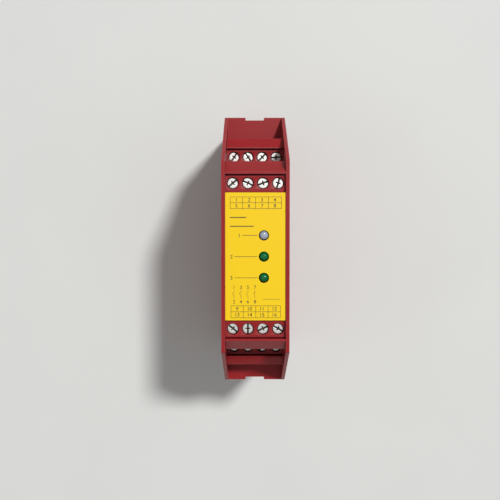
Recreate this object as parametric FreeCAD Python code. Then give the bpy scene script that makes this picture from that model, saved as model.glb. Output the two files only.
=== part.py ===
import FreeCAD, Part
import os

# Safety relay in a slim moulded housing that clips onto a 35 mm rail.
#
# Frame: X is the width, Y the height on the rail (+Y is the top end), Z the depth.  The back
# face lies on z = 0, the rail crosses along X and the terminal screws face +Z.
# Millimetres throughout.  Both ends carry two stepped rows of clamp terminals.

V = FreeCAD.Vector

# ---- general walls and clearances ----
SIDE_WALL = 1.2          # side walls of the housing
END_WALL = 2.0           # end walls of the housing
FLOOR_WALL = 1.5         # back wall of the housing
SLIDE_FIT = 0.1          # gap each side of a piece that slides into the housing
RUN_FIT = 0.05           # radial gap of a screw in its hole or thread
EASE = 0.3               # gap between pieces that never touch
EDGE_R = 0.5             # rounding of the housing's outer corners

# ---- terminals ----
POLES = 4
POLE_PITCH = 5.0
HEAD_R = 1.75
HEAD_H = 1.7
SLOT_W = 0.6
SLOT_DEEP = 0.8
SHANK_R = 1.5
DRIVER_HOLE_R = 2.0
HEAD_SINK = 0.9          # head below the terminal face
SHELF_T = 0.8            # shelf that the head turns on
CAGE_HALF_X = 1.9
CAGE_HALF_Y = 2.6
CAGE_SIDE_T = 0.35
CAGE_TOP_T = 1.5         # threaded top of the cage
CAGE_FLOOR_T = 0.7
CAGE_TRAVEL = 3.0
CAGE_FIT = 0.1
BAR_T = 0.8
BAR_HALF_X = 1.25
BAR_FIT = 0.05
BAR_SETBACK = 0.2        # cage's outer end to the end of its bar
WIRE_MOUTH_HALF_X = 1.9  # outer end of a wire funnel
WIRE_MOUTH_H = 4.4
WIRE_MOUTH_RISE = 0.4    # middle of the mouth above the middle of the throat
WIRE_THROAT_LEN = 0.8
MOUTH_SILL = 0.4         # block face between the open ledge and a wire mouth
POLE_WALL = 1.2          # block wall behind the cages
LIP_RISE = 1.4           # rim beyond the terminal face
LIP_W = 0.55
GROOVE_W = 0.45
GROOVE_DEEP = 1.2
GROOVE_SETBACK = 2.6     # screw axis to groove
FLOOR_INNER = 2.2        # under the cages of the inner rows
FLOOR_OUTER = 2.8        # under the cages of the outer rows
BEVEL_INNER = (3.85, 4.7)  # outward slope of the rim: run along Y, drop along Z
BEVEL_OUTER = (3.1, 2.4)

# Slot angles of the screws as last tightened, per row, from -X to +X
SLOT_ANGLES = {
    "1": (55, -55, 45, 4),
    "2": (40, -25, 20, 75),
    "3": (-40, 90, 25, -30),
    "4": (12, -35, 60, -8),
}

# ---- lengths along Y, from the middle outwards ----
PLATE_HALF_Y = 21.2      # front cover
SCREW_SETBACK = 2.9      # edge of the inner terminal face to its screws
OUTER_HOLE_CLEAR = 0.15  # inner block's face to the outer driver holes
LEDGE_LEN = 9.0          # open ledge beyond the outer row
LEDGE_LAP = 1.8          # block that stands on the inner edge of the ledge
BLOCK_RIB_LEN = 2.0      # side rib under the back end of a terminal block
BLOCK_RIB_H = 4.0
RIB_PROUD = 1.0

# ---- depths along Z ----
LEDGE_Z = 50.0           # where the outer blocks stand
LEDGE_T = 1.6
SHOULDER_RISE = 0.3      # side wall above the open ledge at the very end
BACK_BEVEL = 2.0
PLATE_SINK = 0.7         # front cover below the side walls
PLATE_T = 1.6
LABEL_T = 0.2

# ---- rail seat ----
RAIL_W = 35.0
RAIL_FLANGE_T = 1.0
RAIL_PLAY = 0.3
RAIL_SEAT_Z = 5.0
HOOK_LAP = 1.4           # hook and latch over the rail's flange
HOOK_TIP_Z = 2.0         # back corner of the hook's tip
HOOK_SLOPE = 0.8         # slope that leads the rail in

# ---- latch ----
LATCH_HALF_X = 4.8
LATCH_T = 1.8
LATCH_RIB_HALF_X = 3.4
LATCH_RIB_T = 1.5
LATCH_END_GAP = 0.2      # latch tab inside the housing's end
LATCH_TIP_T = 0.8        # thin end of the latch's nose
LATCH_LEAD = 1.0         # length of the slope on the nose
TAB_LEN = 4.0
TAB_SLOT = (5.0, 1.2)
TAB_SLOT_INSET = 1.6     # tab's end to the middle of its slot
POCKET_SIDE = 0.6        # pocket beside the tab
POCKET_H = 8.0
POCKET_ROOF_T = 1.5
PEG_T = 1.5
PEG_SETBACK = 8.0        # housing's end to the peg
PEG_HALF_X = 1.3
SPRING_LEN = 12.0
SPRING_OD = 2.6
SPRING_STRIP = 0.3
SPRING_FOLDS = 8
SPRING_SIDE_GAP = 0.3

# ---- end grooves that guide a screwdriver ----
GUIDE_HALF_X = 3.5
GUIDE_DEEP = 1.0

# ---- boards and what they carry ----
BOARD_T = 1.6
BOARD_STANDOFF = 1.45    # main board to the side wall
RELAY = (13.0, 40.0, 26.0)
RELAY_BASE_Z = 10.0
RELAY_GAP = 6.0
CAPACITOR_R = 6.25
CAPACITOR_LEN = 16.0
CAPACITOR_Z = 58.0
FUSE = (8.0, 8.4, 7.2)
SUPPRESSOR = (11.0, 5.0, 13.0)
SMALL_PART_Z = 60.5
CHIP = (3.5, 6.4, 9.8)
CHIP_Z = 40.0
CHIP_STANDOFF = 0.5
LEG_PITCH = 2.54
LEG_W = 0.5
LEG_T = 0.3
DISPLAY_HALF_X = 8.7
LAMP_TO_BOARD_END = 4.0  # outer lamps to the ends of the display board
DISPLAY_DROP = 4.1       # front cover's underside to the display board
POST_HALF = 1.0
POST_INSET = (1.5, 1.8)  # post to the display board's side and end
BOARD_RIB_T = 1.0
BOARD_RIB_LEN = 2.0
BOARD_RIB_CLEAR = 1.5    # housing's floor to the foot of a board rib
RELAY_CHAMFER = 0.6
SKIRT_T = 1.0
SKIRT_HALF_Y = 16.5
SKIRT_H = 9.7
SNAP_HALF_Y = 6.0
SNAP_H = 2.2
SNAP_PROUD = 0.4
SNAP_DROP = 5.3
SNAP_SLOPE = 0.4
SNAP_FLAT = 0.7
SNAP_PLAY = 0.2

# ---- indicator lamps ----
LED_X = 2.8
LED_PITCH = 7.0
LED_R = 1.5
LED_RING = 0.2           # gap round the lamp in the label
LED_STANDOFF = 1.4
LEAD_HALF = 0.25
LEAD_AT = 1.0

# ---- sizes that follow ----
BLOCK_HALF_X = POLES * POLE_PITCH / 2 - 0.05
INNER_HALF_X = BLOCK_HALF_X + SLIDE_FIT
HALF_WIDTH = INNER_HALF_X + SIDE_WALL
POLE_X = [(i - (POLES - 1) / 2) * POLE_PITCH for i in range(POLES)]

CAVITY_DEPTH = (SHELF_T + CAGE_FIT + CAGE_TRAVEL + CAGE_TOP_T + CAGE_FIT + BAR_T + CAGE_FIT
                + CAGE_TRAVEL + CAGE_FLOOR_T + CAGE_FIT)
STACK = HEAD_SINK + HEAD_H + CAVITY_DEPTH   # terminal face to the floor of the cage's cavity
CAVITY_HALF_Y = CAGE_HALF_Y + CAGE_FIT


class Tier:
    """Places of one kind of terminal row, given for the +Y end."""

    def __init__(self, base_z, floor_t, screw_y, bevel):
        self.base_z = base_z
        self.cavity_z = base_z + floor_t
        self.face_z = self.cavity_z + STACK
        self.lip_z = self.face_z + LIP_RISE
        self.head_z = self.face_z - HEAD_SINK
        self.shelf_z = self.head_z - HEAD_H
        self.cavity_top = self.shelf_z - SHELF_T
        self.cage_z = self.cavity_z + CAGE_FIT
        self.wire_z = self.cage_z + CAGE_FLOOR_T
        self.bar_z = self.wire_z + CAGE_TRAVEL + CAGE_FIT
        self.mouth_z = self.wire_z + (CAGE_TRAVEL - WIRE_MOUTH_H) / 2 + WIRE_MOUTH_RISE
        self.screw_y = screw_y
        self.groove_y = screw_y + GROOVE_SETBACK
        self.lip_y = self.groove_y + GROOVE_W
        self.inner_y = screw_y - CAVITY_HALF_Y - POLE_WALL
        self.outer_y = self.lip_y + LIP_W + bevel[0]
        self.bevel = bevel


INNER = Tier(LEDGE_Z + FLOOR_OUTER + STACK, FLOOR_INNER,
             PLATE_HALF_Y + SLIDE_FIT + SCREW_SETBACK, BEVEL_INNER)
OUTER = Tier(LEDGE_Z, FLOOR_OUTER, INNER.outer_y + OUTER_HOLE_CLEAR + DRIVER_HOLE_R, BEVEL_OUTER)

DEPTH = INNER.lip_z
HALF_HEIGHT = OUTER.outer_y + LEDGE_LEN
END_Y = HALF_HEIGHT - END_WALL               # inner face of an end wall
LEDGE_Y = OUTER.outer_y - LEDGE_LAP          # inner edge of the ledge
LEDGE_UNDER = LEDGE_Z - LEDGE_T
LEDGE_TOP = OUTER.mouth_z - MOUTH_SILL       # open ledge, a step above the blocks' seats
STEP_Y = OUTER.outer_y + SLIDE_FIT           # step in front of an outer block
RAIL_FLOOR_Z = RAIL_SEAT_Z + FLOOR_WALL

PLATE_TOP = DEPTH - PLATE_SINK
PLATE_UNDER = PLATE_TOP - PLATE_T
DISPLAY_TOP = PLATE_UNDER - DISPLAY_DROP
DISPLAY_UNDER = DISPLAY_TOP - BOARD_T
HEADER_OUT_Y = INNER.inner_y - EASE
HEADER_IN_Y = HEADER_OUT_Y - BOARD_T
BOARD_X0 = -INNER_HALF_X + BOARD_STANDOFF
BOARD_X1 = BOARD_X0 + BOARD_T
BOARD_SHOULDER = LEDGE_UNDER - 2 * SLIDE_FIT
DISPLAY_HALF_Y = LED_PITCH + LAMP_TO_BOARD_END
SMALL_PART_Y = (CAPACITOR_R + HEADER_IN_Y) / 2   # midway from the capacitor to a header board

HOOK_GAP = RAIL_FLANGE_T + RAIL_PLAY
HOOK_Z = RAIL_SEAT_Z - HOOK_GAP              # face of hook and latch that holds the flange
RAIL_STOP_Y = RAIL_W / 2 + RAIL_PLAY / 2     # wall the rail's edge meets at the hook
HOOK_TIP_Y = RAIL_W / 2 - HOOK_LAP
RECESS_Y = RAIL_STOP_Y + RAIL_PLAY + 0.35    # wall of the recess at the latch
LATCH_TOP = HOOK_Z
LATCH_Z = LATCH_TOP - LATCH_T
CHANNEL_TOP = LATCH_TOP + SLIDE_FIT
CHANNEL_Z = LATCH_Z - SLIDE_FIT
POCKET_Y = HALF_HEIGHT - TAB_LEN             # wall behind the latch's tab
POCKET_HALF_X = LATCH_HALF_X + POCKET_SIDE
PEG_Y = HALF_HEIGHT - PEG_SETBACK            # outer face of the peg behind the spring
WINDOW_HALF_X = SPRING_OD / 2 + SPRING_SIDE_GAP
WINDOW_IN_Y = PEG_Y - PEG_T - SPRING_LEN
SPRING_Z = LATCH_TOP - SPRING_OD / 2 - EASE


# ---- small makers ----
def box(x, y, z):
    """Box from three pairs of limits, in any order."""
    lo = [min(pair) for pair in (x, y, z)]
    hi = [max(pair) for pair in (x, y, z)]
    return Part.makeBox(hi[0] - lo[0], hi[1] - lo[1], hi[2] - lo[2], V(*lo))


def rod(radius, start, end):
    """Round bar between two points."""
    axis = V(*end) - V(*start)
    return Part.makeCylinder(radius, axis.Length, V(*start), axis)


def prism(points, plane, low, high):
    """Closed outline in the plane 'yz' or 'xz', drawn out along the third axis."""
    if plane == "yz":
        corners = [V(low, a, b) for a, b in points]
        along = V(high - low, 0, 0)
    else:
        corners = [V(a, low, b) for a, b in points]
        along = V(0, high - low, 0)
    face = Part.Face(Part.makePolygon(corners + corners[:1]))
    return face.extrude(along)


def frustum(near_y, near, far_y, far):
    """Solid between two upright rectangles, each given as (low x, high x, low z, high z)."""
    def corners(y, rect):
        x0, x1, z0, z1 = rect
        return [V(x0, y, z0), V(x1, y, z0), V(x1, y, z1), V(x0, y, z1)]

    a, b = corners(near_y, near), corners(far_y, far)
    loops = [a, b] + [[a[i], a[(i + 1) % 4], b[(i + 1) % 4], b[i]] for i in range(4)]
    faces = [Part.Face(Part.makePolygon(loop + loop[:1])) for loop in loops]
    solid = Part.Solid(Part.makeShell(faces))
    return solid if solid.Volume > 0 else solid.reversed()


def end_prism(points, end, half_x):
    """Outline of one end in Y and Z, written for the +Y end, right across the width."""
    return prism([(end * y, z) for y, z in points], "yz", -half_x, half_x)


def cut_all(body, tools):
    return body.cut(Part.makeCompound(tools)) if tools else body


def join_all(body, parts):
    return body.fuse(list(parts)).removeSplitter()


def round_edges(body, radius, wanted):
    """Round the straight edges that the test picks."""
    edges = [e for e in body.Edges if len(e.Vertexes) == 2 and wanted(e)]
    return body.makeFillet(radius, edges) if edges else body


def runs_along_x(edge):
    a, b = (v.Point for v in edge.Vertexes)
    return abs(abs(a.x - b.x) - 2 * HALF_WIDTH) < 1e-6


def save(name, shape):
    shape.exportStep(os.path.join("parts", name + ".step"))


# ---- housing ----
def side_outline():
    """Side view of the housing, right round."""
    half = [
        (INNER.outer_y, DEPTH),
        (HALF_HEIGHT, LEDGE_TOP + SHOULDER_RISE),
        (HALF_HEIGHT, BACK_BEVEL),
        (HALF_HEIGHT - BACK_BEVEL, 0.0),
    ]
    return half + [(-y, z) for y, z in reversed(half)]


def rail_recess():
    """Space for the rail: fixed hook at the top end, open to the latch at the bottom end."""
    room = prism([
        (-RECESS_Y, -1.0), (HOOK_TIP_Y + HOOK_SLOPE, -1.0),
        (HOOK_TIP_Y + HOOK_SLOPE, HOOK_TIP_Z - HOOK_SLOPE), (HOOK_TIP_Y, HOOK_TIP_Z),
        (HOOK_TIP_Y, HOOK_Z), (RAIL_STOP_Y, HOOK_Z), (RAIL_STOP_Y, RAIL_SEAT_Z),
        (-RECESS_Y, RAIL_SEAT_Z),
    ], "yz", -HALF_WIDTH - 1, HALF_WIDTH + 1)
    return room


def latch_channel():
    """T-shaped channel of the latch and the open pocket round its tab."""
    wide = LATCH_HALF_X + SLIDE_FIT
    narrow = LATCH_RIB_HALF_X + SLIDE_FIT
    y_span = (-POCKET_Y - 0.1, -RECESS_Y + 0.1)
    channel = box((-wide, wide), y_span, (CHANNEL_Z, CHANNEL_TOP))
    mouth = box((-narrow, narrow), y_span, (-1.0, CHANNEL_Z))
    pocket = box((-POCKET_HALF_X, POCKET_HALF_X), (-HALF_HEIGHT - 1, -POCKET_Y), (-1.0, POCKET_H))
    peg = box((-PEG_HALF_X, PEG_HALF_X), (-PEG_Y, -PEG_Y + PEG_T), (SPRING_Z - SPRING_OD / 2, CHANNEL_TOP))
    return join_all(channel, [mouth, pocket]).cut(peg)


def housing_room():
    """Inside of the housing, open at the front between the ledges and hollow under each step."""
    deep = box((-INNER_HALF_X, INNER_HALF_X), (-END_Y, END_Y), (RAIL_FLOOR_Z, LEDGE_UNDER))
    front = box((-INNER_HALF_X, INNER_HALF_X), (-LEDGE_Y, LEDGE_Y), (RAIL_FLOOR_Z, DEPTH + 1))
    ends = []
    for y_span, z_span in (
        ((LEDGE_Y, STEP_Y), (LEDGE_Z, DEPTH + 1)),
        ((STEP_Y, HALF_HEIGHT + 1), (LEDGE_TOP, DEPTH + 1)),
        ((STEP_Y + LEDGE_T, END_Y), (LEDGE_UNDER - 1, LEDGE_TOP - LEDGE_T)),
    ):
        for end in (1, -1):
            y_lim = [end * y for y in y_span]
            ends.append(box((-INNER_HALF_X, INNER_HALF_X), y_lim, z_span))
    pocket_y = RECESS_Y + FLOOR_WALL + 1.6
    hollow = [box((-INNER_HALF_X, INNER_HALF_X), (pocket_y, END_Y), (FLOOR_WALL, RAIL_FLOOR_Z))]
    for side in (1, -1):
        hollow.append(box((side * (POCKET_HALF_X + FLOOR_WALL), side * INNER_HALF_X),
                          (-pocket_y, -END_Y), (FLOOR_WALL, RAIL_FLOOR_Z)))
    return join_all(deep, [front] + ends + hollow)


def housing_ribs():
    """Seats of the terminal blocks, guides of the main board and the wall over the tab."""
    ribs = []
    for end in (1, -1):
        for side in (1, -1):
            x_span = (side * INNER_HALF_X, side * (INNER_HALF_X - RIB_PROUD))
            for tier in (OUTER, INNER):
                back_y = max(tier.inner_y, HEADER_OUT_Y + 3 * EASE)
                ribs.append(box(x_span, (end * back_y, end * (back_y + BLOCK_RIB_LEN)),
                                (tier.base_z - BLOCK_RIB_H, tier.base_z)))
        y_span = (end * END_Y, end * (END_Y - BOARD_RIB_LEN))
        z_span = (RAIL_FLOOR_Z + BOARD_RIB_CLEAR, LEDGE_UNDER)
        near, far = BOARD_X0 - SLIDE_FIT, BOARD_X1 + SLIDE_FIT
        ribs.append(box((-INNER_HALF_X, near), y_span, z_span))
        ribs.append(box((far, far + BOARD_RIB_T), y_span, z_span))
    half = POCKET_HALF_X + POCKET_ROOF_T
    ribs.append(box((-half, half), (-END_Y, -POCKET_Y + POCKET_ROOF_T),
                    (RAIL_FLOOR_Z, POCKET_H + POCKET_ROOF_T)))
    return ribs


def snap_pockets():
    """Blind pockets in the side walls that take the front cover's snap ridges."""
    top = PLATE_UNDER - SNAP_DROP
    return [
        box((side * (INNER_HALF_X - 0.1), side * (INNER_HALF_X + SNAP_PROUD)),
            (-SNAP_HALF_Y - SLIDE_FIT, SNAP_HALF_Y + SLIDE_FIT),
            (top - SNAP_H - SNAP_PLAY, top + SNAP_PLAY))
        for side in (1, -1)
    ]


def guide_grooves():
    """Shallow groove down each end wall."""
    return [
        box((-GUIDE_HALF_X, GUIDE_HALF_X),
            (end * (HALF_HEIGHT - GUIDE_DEEP), end * (HALF_HEIGHT + 1)), (-1.0, LEDGE_TOP + 1))
        for end in (1, -1)
    ]


def housing_body():
    shell = prism(side_outline(), "yz", -HALF_WIDTH, HALF_WIDTH)
    shell = round_edges(shell, EDGE_R, runs_along_x)
    room = cut_all(housing_room(), housing_ribs())
    shell = shell.cut(room)
    return cut_all(shell, [rail_recess(), latch_channel()] + snap_pockets() + guide_grooves())


# ---- terminals ----
def block_outline(tier):
    """Side view of a terminal block for the +Y end."""
    step_z = min(PLATE_UNDER - 2 * SLIDE_FIT, tier.face_z)
    face_y = PLATE_HALF_Y + SLIDE_FIT if tier is INNER else tier.inner_y
    points = [(tier.inner_y, tier.base_z), (tier.inner_y, step_z)]
    if tier is INNER:
        points.append((face_y, step_z))
        points.append((face_y, tier.face_z))
    points += [
        (tier.groove_y, tier.face_z),
        (tier.groove_y, tier.face_z - GROOVE_DEEP),
        (tier.lip_y, tier.face_z - GROOVE_DEEP),
        (tier.lip_y, tier.lip_z),
        (tier.lip_y + LIP_W, tier.lip_z),
        (tier.outer_y, tier.lip_z - tier.bevel[1]),
        (tier.outer_y, tier.base_z),
    ]
    return points


def wire_funnel(tier, end, x):
    """Tapered mouth that leads a wire from the outer face to the cage."""
    half = CAGE_HALF_X - CAGE_SIDE_T
    wall_y = end * (tier.screw_y + CAVITY_HALF_Y - 0.01)
    out_y = end * (tier.outer_y + 0.01)
    top = tier.wire_z + CAGE_TRAVEL
    throat_y = wall_y + end * WIRE_THROAT_LEN
    throat = box((x - half, x + half), (wall_y, throat_y), (tier.wire_z, top))
    mouth = frustum(throat_y, (x - half, x + half, tier.wire_z, top),
                    out_y, (x - WIRE_MOUTH_HALF_X, x + WIRE_MOUTH_HALF_X,
                            tier.mouth_z, tier.mouth_z + WIRE_MOUTH_H))
    return [throat, mouth]


def terminal_block(tier, end):
    body = end_prism(block_outline(tier), end, BLOCK_HALF_X)
    tools = []
    for x in POLE_X:
        y = end * tier.screw_y
        tools.append(rod(DRIVER_HOLE_R, (x, y, tier.shelf_z), (x, y, tier.lip_z + 1)))
        half = SHANK_R + RUN_FIT
        tools.append(box((x - half, x + half), (y - half, y + half),
                         (tier.cavity_top - 0.1, tier.shelf_z + 0.1)))
        half = CAGE_HALF_X + CAGE_FIT
        tools.append(box((x - half, x + half), (y - CAVITY_HALF_Y, y + CAVITY_HALF_Y),
                         (tier.cavity_z, tier.cavity_top)))
        half = BAR_HALF_X + BAR_FIT
        tools.append(box((x - half, x + half), (y, end * (tier.inner_y - 1)),
                         (tier.bar_z - BAR_FIT, tier.bar_z + BAR_T + BAR_FIT)))
        tools += wire_funnel(tier, end, x)
    for tool in tools:
        body = body.cut(tool)
    return body


def clamp_screw(tier, end, x, angle):
    """Slotted screw whose head turns on the block's shelf."""
    y = end * tier.screw_y
    head = rod(HEAD_R, (x, y, tier.shelf_z), (x, y, tier.head_z))
    slot = box((x - HEAD_R - 1, x + HEAD_R + 1), (y - SLOT_W / 2, y + SLOT_W / 2),
               (tier.head_z - SLOT_DEEP, tier.head_z + 1))
    slot.rotate(V(x, y, 0), V(0, 0, 1), angle)
    tip_z = tier.bar_z + BAR_T + CAGE_FIT
    shank = rod(SHANK_R, (x, y, tip_z), (x, y, tier.shelf_z + 0.1))
    return head.cut(slot).fuse(shank).removeSplitter()


def clamp_cage(tier, end, x):
    """Rising cage: threaded top, two sides and the floor that lifts the wire to the bar."""
    y = end * tier.screw_y
    top = tier.bar_z + BAR_T + CAGE_FIT + CAGE_TOP_T
    cage = box((x - CAGE_HALF_X, x + CAGE_HALF_X), (y - CAGE_HALF_Y, y + CAGE_HALF_Y),
               (tier.cage_z, top))
    half = CAGE_HALF_X - CAGE_SIDE_T
    window = box((x - half, x + half), (y - CAGE_HALF_Y - 1, y + CAGE_HALF_Y + 1),
                 (tier.wire_z, top - CAGE_TOP_T))
    thread = rod(SHANK_R + RUN_FIT, (x, y, top - CAGE_TOP_T - 0.1), (x, y, top + 0.1))
    return cage.cut(window).cut(thread)


def contact_bars(tier, end):
    """Four fixed bars, from the cages to their pads on the header board."""
    bars = [
        box((x - BAR_HALF_X, x + BAR_HALF_X),
            (end * (tier.screw_y + CAGE_HALF_Y - BAR_SETBACK), end * HEADER_OUT_Y),
            (tier.bar_z, tier.bar_z + BAR_T))
        for x in POLE_X
    ]
    return Part.makeCompound(bars)


# ---- boards and their parts ----
def header_board(end):
    """Small upright board that carries the bars of one end."""
    half = INNER_HALF_X - SLIDE_FIT
    return box((-half, half), (end * HEADER_IN_Y, end * HEADER_OUT_Y),
               (BOARD_SHOULDER, PLATE_UNDER - 2 * SLIDE_FIT))


def main_board():
    """Board beside the left wall: full length at the back, narrow behind the front cover."""
    back_y = END_Y - EASE
    outline = [
        (-back_y, RAIL_FLOOR_Z), (back_y, RAIL_FLOOR_Z),
        (back_y, BOARD_SHOULDER), (HEADER_IN_Y, BOARD_SHOULDER),
        (HEADER_IN_Y, DISPLAY_UNDER), (-HEADER_IN_Y, DISPLAY_UNDER),
        (-HEADER_IN_Y, BOARD_SHOULDER), (-back_y, BOARD_SHOULDER),
    ]
    return prism(outline, "yz", BOARD_X0, BOARD_X1)


def display_board():
    """Board behind the front cover that carries the lamps."""
    return box((-DISPLAY_HALF_X, DISPLAY_HALF_X), (-DISPLAY_HALF_Y, DISPLAY_HALF_Y),
               (DISPLAY_UNDER, DISPLAY_TOP))


def safety_relay(end):
    """Sealed relay with guided contacts, standing on the main board."""
    near = RELAY_GAP / 2
    case = box((BOARD_X1, BOARD_X1 + RELAY[0]), (end * near, end * (near + RELAY[1])),
               (RELAY_BASE_Z, RELAY_BASE_Z + RELAY[2]))
    top_edges = [e for e in case.Edges
                 if min(v.X for v in e.Vertexes) > BOARD_X1 + RELAY[0] - 0.01]
    return case.makeChamfer(RELAY_CHAMFER, top_edges)


def capacitor():
    """Smoothing capacitor, standing on the main board."""
    return rod(CAPACITOR_R, (BOARD_X1, 0, CAPACITOR_Z), (BOARD_X1 + CAPACITOR_LEN, 0, CAPACITOR_Z))


def board_block(size, y, z):
    """Square-cased part standing on the main board: height off the board, then Y and Z sizes."""
    return box((BOARD_X1, BOARD_X1 + size[0]), (y - size[1] / 2, y + size[1] / 2),
               (z - size[2] / 2, z + size[2] / 2))


def logic_chip():
    """Eight-legged integrated circuit between the capacitor and the relays."""
    x0 = BOARD_X1 + CHIP_STANDOFF
    body = box((x0, x0 + CHIP[0]), (-CHIP[2] / 2, CHIP[2] / 2), (CHIP_Z, CHIP_Z + CHIP[1]))
    legs = [
        box((BOARD_X1, x0 + CHIP[0] / 2), (y - LEG_W / 2, y + LEG_W / 2), (z, z + LEG_T))
        for y in [(i - 1.5) * LEG_PITCH for i in range(4)]
        for z in (CHIP_Z - LEG_T, CHIP_Z + CHIP[1])
    ]
    return join_all(body, legs)


# ---- front ----
LED_Y = {"power": LED_PITCH, "channel_2": 0.0, "channel_1": -LED_PITCH}


def front_cover():
    """Plate with one slot for the lamps, two skirts that snap into the walls and four posts."""
    plate = box((-BLOCK_HALF_X, BLOCK_HALF_X), (-PLATE_HALF_Y, PLATE_HALF_Y),
                (PLATE_UNDER, PLATE_TOP))
    parts = []
    for side in (1, -1):
        out_x = side * BLOCK_HALF_X
        parts.append(box((out_x, side * (BLOCK_HALF_X - SKIRT_T)), (-SKIRT_HALF_Y, SKIRT_HALF_Y),
                         (PLATE_UNDER - SKIRT_H, PLATE_UNDER)))
        top = PLATE_UNDER - SNAP_DROP
        nose = side * (BLOCK_HALF_X + SNAP_PROUD)
        parts.append(prism([(out_x, top), (nose, top - SNAP_SLOPE),
                            (nose, top - SNAP_SLOPE - SNAP_FLAT),
                            (out_x, top - SNAP_H)], "xz", -SNAP_HALF_Y, SNAP_HALF_Y))
        for end in (1, -1):
            x = side * (DISPLAY_HALF_X - POST_INSET[0])
            y = end * (DISPLAY_HALF_Y - POST_INSET[1])
            parts.append(box((x - POST_HALF, x + POST_HALF), (y - POST_HALF, y + POST_HALF),
                             (DISPLAY_TOP, PLATE_UNDER)))
    half_x = LED_R + LED_RING
    half_y = LED_PITCH + half_x
    slot = box((LED_X - half_x, LED_X + half_x), (-half_y, half_y), (PLATE_UNDER - 1, DEPTH))
    return join_all(plate, parts).cut(slot)


def front_label():
    """Thin yellow sheet on the front cover, with a round hole for each lamp."""
    half_y = PLATE_HALF_Y - SLIDE_FIT
    sheet = box((-BLOCK_HALF_X, BLOCK_HALF_X), (-half_y, half_y), (PLATE_TOP, PLATE_TOP + LABEL_T))
    return cut_all(sheet, [rod(LED_R + LED_RING, (LED_X, y, PLATE_UNDER), (LED_X, y, DEPTH))
                           for y in LED_Y.values()])


def indicator(y):
    """Round lamp on two leads, its nose level with the side walls."""
    base = DISPLAY_TOP + LED_STANDOFF
    lamp = rod(LED_R, (LED_X, y, base), (LED_X, y, DEPTH))
    leads = [
        box((x - LEAD_HALF, x + LEAD_HALF), (y - LEAD_HALF, y + LEAD_HALF),
            (DISPLAY_TOP, base + 0.1))
        for x in (LED_X - LEAD_AT, LED_X + LEAD_AT)
    ]
    return join_all(lamp, leads)


# ---- rail latch ----
def rail_latch():
    """Sliding latch: nose over the rail's flange, rib in the channel's mouth, slotted tab."""
    tip = HOOK_TIP_Y
    tab_end = HALF_HEIGHT - LATCH_END_GAP
    plate = prism([(-tab_end, LATCH_Z), (-tab_end, LATCH_TOP), (-tip, LATCH_TOP),
                   (-tip, LATCH_TOP - LATCH_TIP_T), (-tip - LATCH_LEAD, LATCH_Z)], "yz",
                  -LATCH_HALF_X, LATCH_HALF_X)
    rib = box((-LATCH_RIB_HALF_X, LATCH_RIB_HALF_X), (-POCKET_Y + EASE, -RECESS_Y - EASE),
              (LATCH_Z - LATCH_RIB_T, LATCH_Z))
    window = box((-WINDOW_HALF_X, WINDOW_HALF_X), (-PEG_Y - SLIDE_FIT, -WINDOW_IN_Y),
                 (LATCH_Z - LATCH_RIB_T - 1, LATCH_TOP + 1))
    slot_mid = -tab_end + TAB_SLOT_INSET
    slot = box((-TAB_SLOT[0] / 2, TAB_SLOT[0] / 2),
               (slot_mid - TAB_SLOT[1] / 2, slot_mid + TAB_SLOT[1] / 2), (LATCH_Z - 1, LATCH_TOP + 1))
    return join_all(plate, [rib]).cut(window).cut(slot)


def latch_spring():
    """Folded strip of spring steel between the housing's peg and the latch, lying along Y."""
    reach = SPRING_OD / 2 - SPRING_STRIP
    step = SPRING_LEN / SPRING_FOLDS
    half = SPRING_STRIP / 2 * (1 + (2 * reach / step) ** 2) ** 0.5
    start = -PEG_Y + PEG_T
    folds = [((-1) ** i * reach, start + (i + 0.5) * step) for i in range(SPRING_FOLDS)]
    line = [(0.0, start)] + folds + [(0.0, start + SPRING_LEN)]
    left = [(x - half, y) for x, y in line]
    right = [(x + half, y) for x, y in line]
    corners = [V(x, y, SPRING_Z - SPRING_OD / 2) for x, y in left + right[::-1]]
    return Part.Face(Part.makePolygon(corners + corners[:1])).extrude(V(0, 0, SPRING_OD))


# ---- the assembly ----
ROWS = {"1": (OUTER, 1), "2": (INNER, 1), "3": (INNER, -1), "4": (OUTER, -1)}
BLOCK_NAMES = {
    "1": "terminal_block_top_outer",
    "2": "terminal_block_top_inner",
    "3": "terminal_block_bottom_inner",
    "4": "terminal_block_bottom_outer",
}


def build():
    os.makedirs("parts", exist_ok=True)
    save("housing_body", housing_body())
    save("front_cover", front_cover())
    save("front_label", front_label())
    for row, (tier, end) in ROWS.items():
        save(BLOCK_NAMES[row], terminal_block(tier, end))
        save("contact_bars_row_" + row, contact_bars(tier, end))
        for pole, x in enumerate(POLE_X):
            place = row + "_" + str(pole + 1)
            save("clamp_screw_" + place, clamp_screw(tier, end, x, SLOT_ANGLES[row][pole]))
            save("clamp_cage_" + place, clamp_cage(tier, end, x))
    save("header_board_top", header_board(1))
    save("header_board_bottom", header_board(-1))
    save("main_board", main_board())
    save("display_board", display_board())
    for name, y in LED_Y.items():
        save("led_" + name, indicator(y))
    save("relay_top", safety_relay(1))
    save("relay_bottom", safety_relay(-1))
    save("power_capacitor", capacitor())
    save("input_fuse", board_block(FUSE, SMALL_PART_Y, SMALL_PART_Z))
    save("surge_suppressor", board_block(SUPPRESSOR, -SMALL_PART_Y, SMALL_PART_Z))
    save("logic_chip", logic_chip())
    save("rail_latch", rail_latch())
    save("latch_spring", latch_spring())


build()
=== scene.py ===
"""Looks of a slim safety relay that clips onto a mounting rail: finishes, print, screws, lamps."""

import logging
import math
from dataclasses import dataclass, field
from enum import Enum

import bmesh
import bpy
from mathutils import Matrix, Vector


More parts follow.
